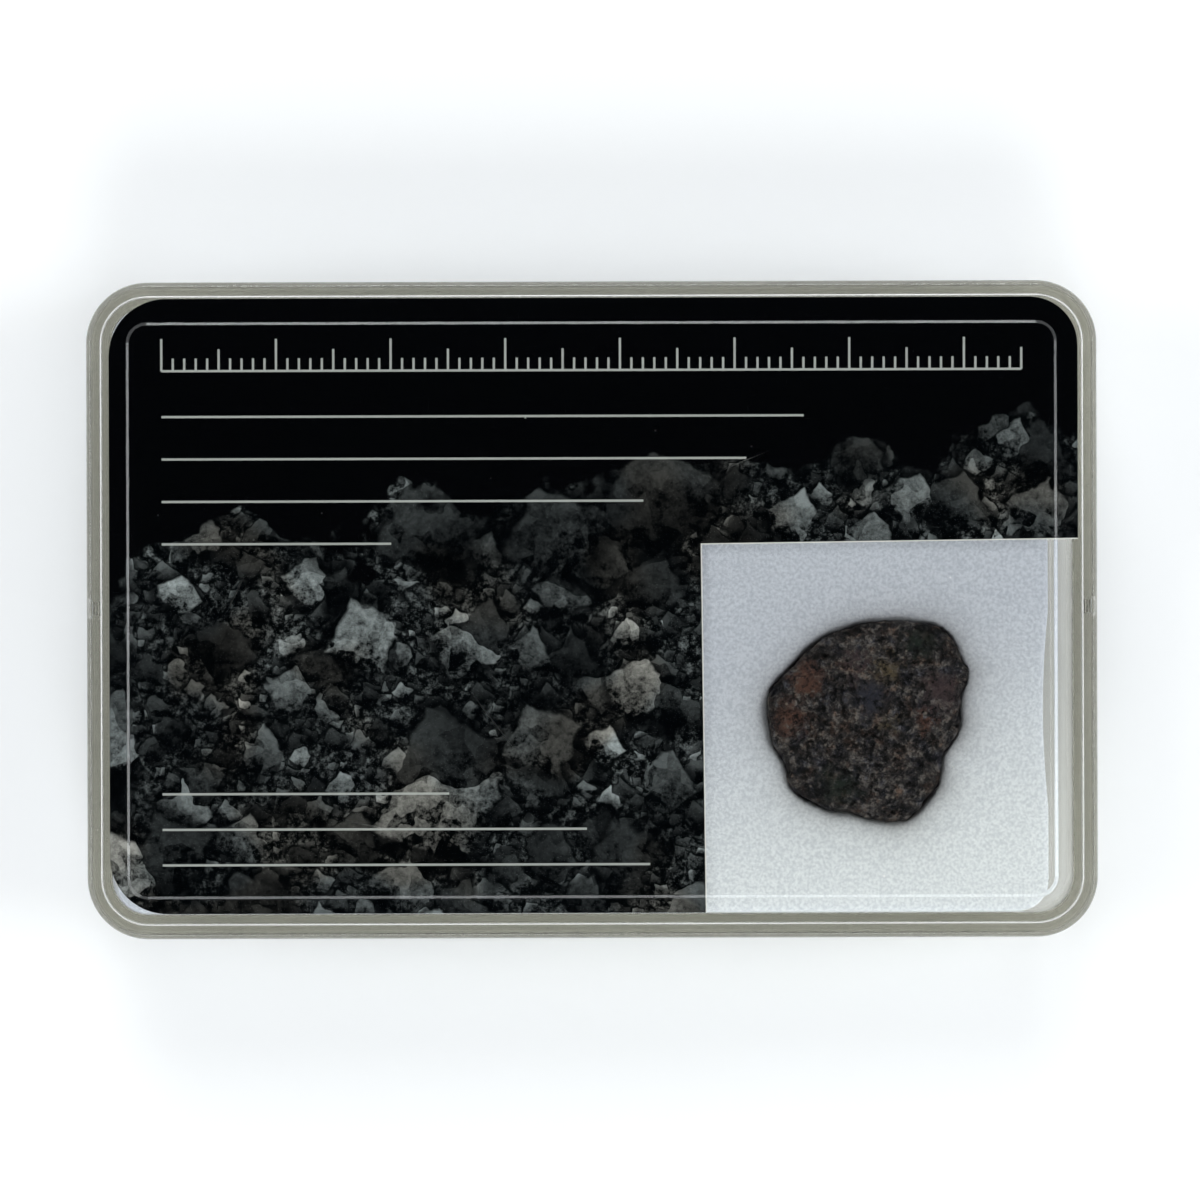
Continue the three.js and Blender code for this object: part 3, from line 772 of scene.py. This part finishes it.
def worn_lid():
    """The lid's plastic with a few straight hairlines and specks of dust that blur what they cover."""
    material, plastic, millimetres = clear_polystyrene("clear lid plastic", LID_DENSITY)
    tree = material.node_tree
    specks = add(tree, "TexVoronoi", {"Vector": millimetres, "Scale": 0.35})
    chosen = add(tree, "SeparateColor", {0: specks.outputs["Color"]}).outputs[0]
    small = between(tree, specks.outputs["Distance"], 0.04, 0.02)
    worn = calculate(tree, "MULTIPLY", small, calculate(tree, "GREATER_THAN", chosen, 0.7))
    for scratch in SCRATCHES:
        inputs = {
            "Vector": millimetres,
            "Location": (*scratch["middle"], 0),
            "Rotation": (0, 0, math.radians(scratch["turn"])),
        }
        beside = add(tree, "Mapping", inputs, vector_type="TEXTURE").outputs[0]
        axes = add(tree, "SeparateXYZ", {0: beside})
        off_end = calculate(tree, "ABSOLUTE", axes.outputs[0])
        off_line = calculate(tree, "ABSOLUTE", axes.outputs[1])
        fading = between(tree, off_end, scratch["length"] / 2, scratch["length"] / 6)
        line = calculate(tree, "MULTIPLY", between(tree, off_line, HAIRLINE, HAIRLINE / 2), fading)
        worn = calculate(tree, "MAXIMUM", line, worn)
    roughness = calculate(tree, "MULTIPLY_ADD", worn, WORN_ROUGHNESS, POLISH)
    tree.links.new(roughness, plastic.inputs["Roughness"])
    return material


lid = rounded_block(BOX_SIZE, SKIRT_Z, SHOULDER_Z, CORNER_RADIUS, CORNER_SEGMENTS)
panel = step_in(lid, flat_face(lid, SHOULDER_Z, 1), PANEL_INSET)
step_in(lid, panel, PANEL_SLOPE, PANEL_RISE)
hollow = step_in(lid, flat_face(lid, SKIRT_Z, -1), LID_WALL)
draw_out(lid, hollow, CEILING_Z - SKIRT_Z)
for edge in LID_EDGES:
    round_ring(lid, **edge)
for side in (1, -1):
    wall_x = side * (BOX_SIZE.x / 2 - LID_WALL)
    press_patch(lid, wall_x, -side, POCKET_SIZE, side * POCKET_DEPTH, taper=1)
lid_piece = finished("clear_lid", lid, [worn_lid()])
even_normals(lid_piece)
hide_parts("lid")

# The studio: a plain pale floor, a soft bright surround that is dark overhead so that the lid shows
# no glare, four soft boxes that light the box without showing in its gloss, four low strips that show as
# the gloss of its edges, and a camera straight above the box.
FLOOR_SIZE = 6.0
FLOOR_COLOUR = (0.9, 0.9, 0.9, 1)
CAMERA_HEIGHT = 0.7
CAMERA_PLACE = (0.7 * MM, 0.84 * MM)
CAMERA_TURN = -0.17
FRAME_WIDTH = 104.56 * MM
RIM_Z = 12.8 * MM
SURROUND = (0.95, 0.97, 1.0, 1)
SURROUND_STRENGTH = 1.2
DARKENS_FROM, DARK_AT = 0.42, 0.8
LIGHT_COLOUR = (0.95, 0.985, 1.0)
SOFT_BOX_SIZE = (0.5, 0.5)
SOFT_BOXES = (
    {"name": "front soft box", "place": (0.1, -0.88, 0.55), "power": 5.0},
    {"name": "right soft box", "place": (0.88, 0.0, 0.55), "power": 4.9},
    {"name": "back soft box", "place": (-0.1, 0.88, 0.55), "power": 4.5},
    {"name": "left soft box", "place": (-0.88, 0.0, 0.55), "power": 3.4},
)
LOW_STRIP_SIZE = (0.3, 0.1)
LOW_STRIPS = (
    {"name": "low front strip", "place": (0.0, -1.0, 0.36), "power": 0.17},
    {"name": "low right strip", "place": (1.0, 0.0, 0.36), "power": 0.2},
    {"name": "low back strip", "place": (0.0, 1.0, 0.36), "power": 0.45},
    {"name": "low left strip", "place": (-1.0, 0.0, 0.36), "power": 0.3},
)

floor_mesh = bmesh.new()
bmesh.ops.create_grid(floor_mesh, x_segments=1, y_segments=1, size=FLOOR_SIZE / 2)
floor_data = bpy.data.meshes.new("floor")
floor_mesh.to_mesh(floor_data)
floor_mesh.free()
floor = bpy.data.objects.new("floor", floor_data)
bpy.context.scene.collection.objects.link(floor)
pale, pale_tree, pale_output, _ = start_material("pale floor")
matte = add(pale_tree, "BsdfDiffuse", {"Color": FLOOR_COLOUR})
pale_tree.links.new(matte.outputs[0], pale_output.inputs["Surface"])
floor.data.materials.append(pale)

world = bpy.data.worlds.new("soft surround")
bpy.context.scene.world = world
world.use_nodes = True
sky_tree = world.node_tree
sky_tree.nodes.clear()
direction = add(sky_tree, "TexCoord").outputs["Generated"]
upward = add(sky_tree, "SeparateXYZ", {0: direction}).outputs[2]
overhead = between(sky_tree, upward, DARKENS_FROM, DARK_AT)
surround = mix_colours(sky_tree, overhead, SURROUND, (0, 0, 0, 1))
sky = add(sky_tree, "Background", {"Color": surround, "Strength": SURROUND_STRENGTH})
sky_output = add(sky_tree, "OutputWorld")
sky_tree.links.new(sky.outputs[0], sky_output.inputs["Surface"])


def soft_box(name, place, power, size, in_gloss):
    """A soft box aimed at the stone's box, which shows in its gloss or only lights it."""
    light = bpy.data.lights.new(name, "AREA")
    light.shape = "RECTANGLE"
    light.size, light.size_y = size
    light.energy = power
    light.color = LIGHT_COLOUR
    holder = bpy.data.objects.new(name, light)
    holder.location = place
    holder.rotation_euler = (-Vector(place)).to_track_quat("-Z", "Y").to_euler()
    holder.visible_glossy = in_gloss
    holder.visible_transmission = in_gloss
    bpy.context.scene.collection.objects.link(holder)


for box in SOFT_BOXES:
    soft_box(**box, size=SOFT_BOX_SIZE, in_gloss=False)
for strip in LOW_STRIPS:
    soft_box(**strip, size=LOW_STRIP_SIZE, in_gloss=True)

camera_data = bpy.data.cameras.new("camera")
camera_data.sensor_width = 36
camera_data.lens = camera_data.sensor_width * CAMERA_HEIGHT / FRAME_WIDTH
camera_data.clip_start = 0.05
camera_data.clip_end = 20
camera = bpy.data.objects.new("camera", camera_data)
camera.location = (*CAMERA_PLACE, RIM_Z + CAMERA_HEIGHT)
camera.rotation_euler = (0, 0, math.radians(CAMERA_TURN))
bpy.context.scene.collection.objects.link(camera)
bpy.context.scene.camera = camera

scene = bpy.context.scene
scene.view_settings.view_transform = "Standard"
scene.cycles.max_bounces = 16
scene.cycles.transmission_bounces = 16
scene.cycles.transparent_max_bounces = 24
scene.cycles.diffuse_bounces = 4
scene.cycles.glossy_bounces = 8
scene.cycles.use_light_tree = False
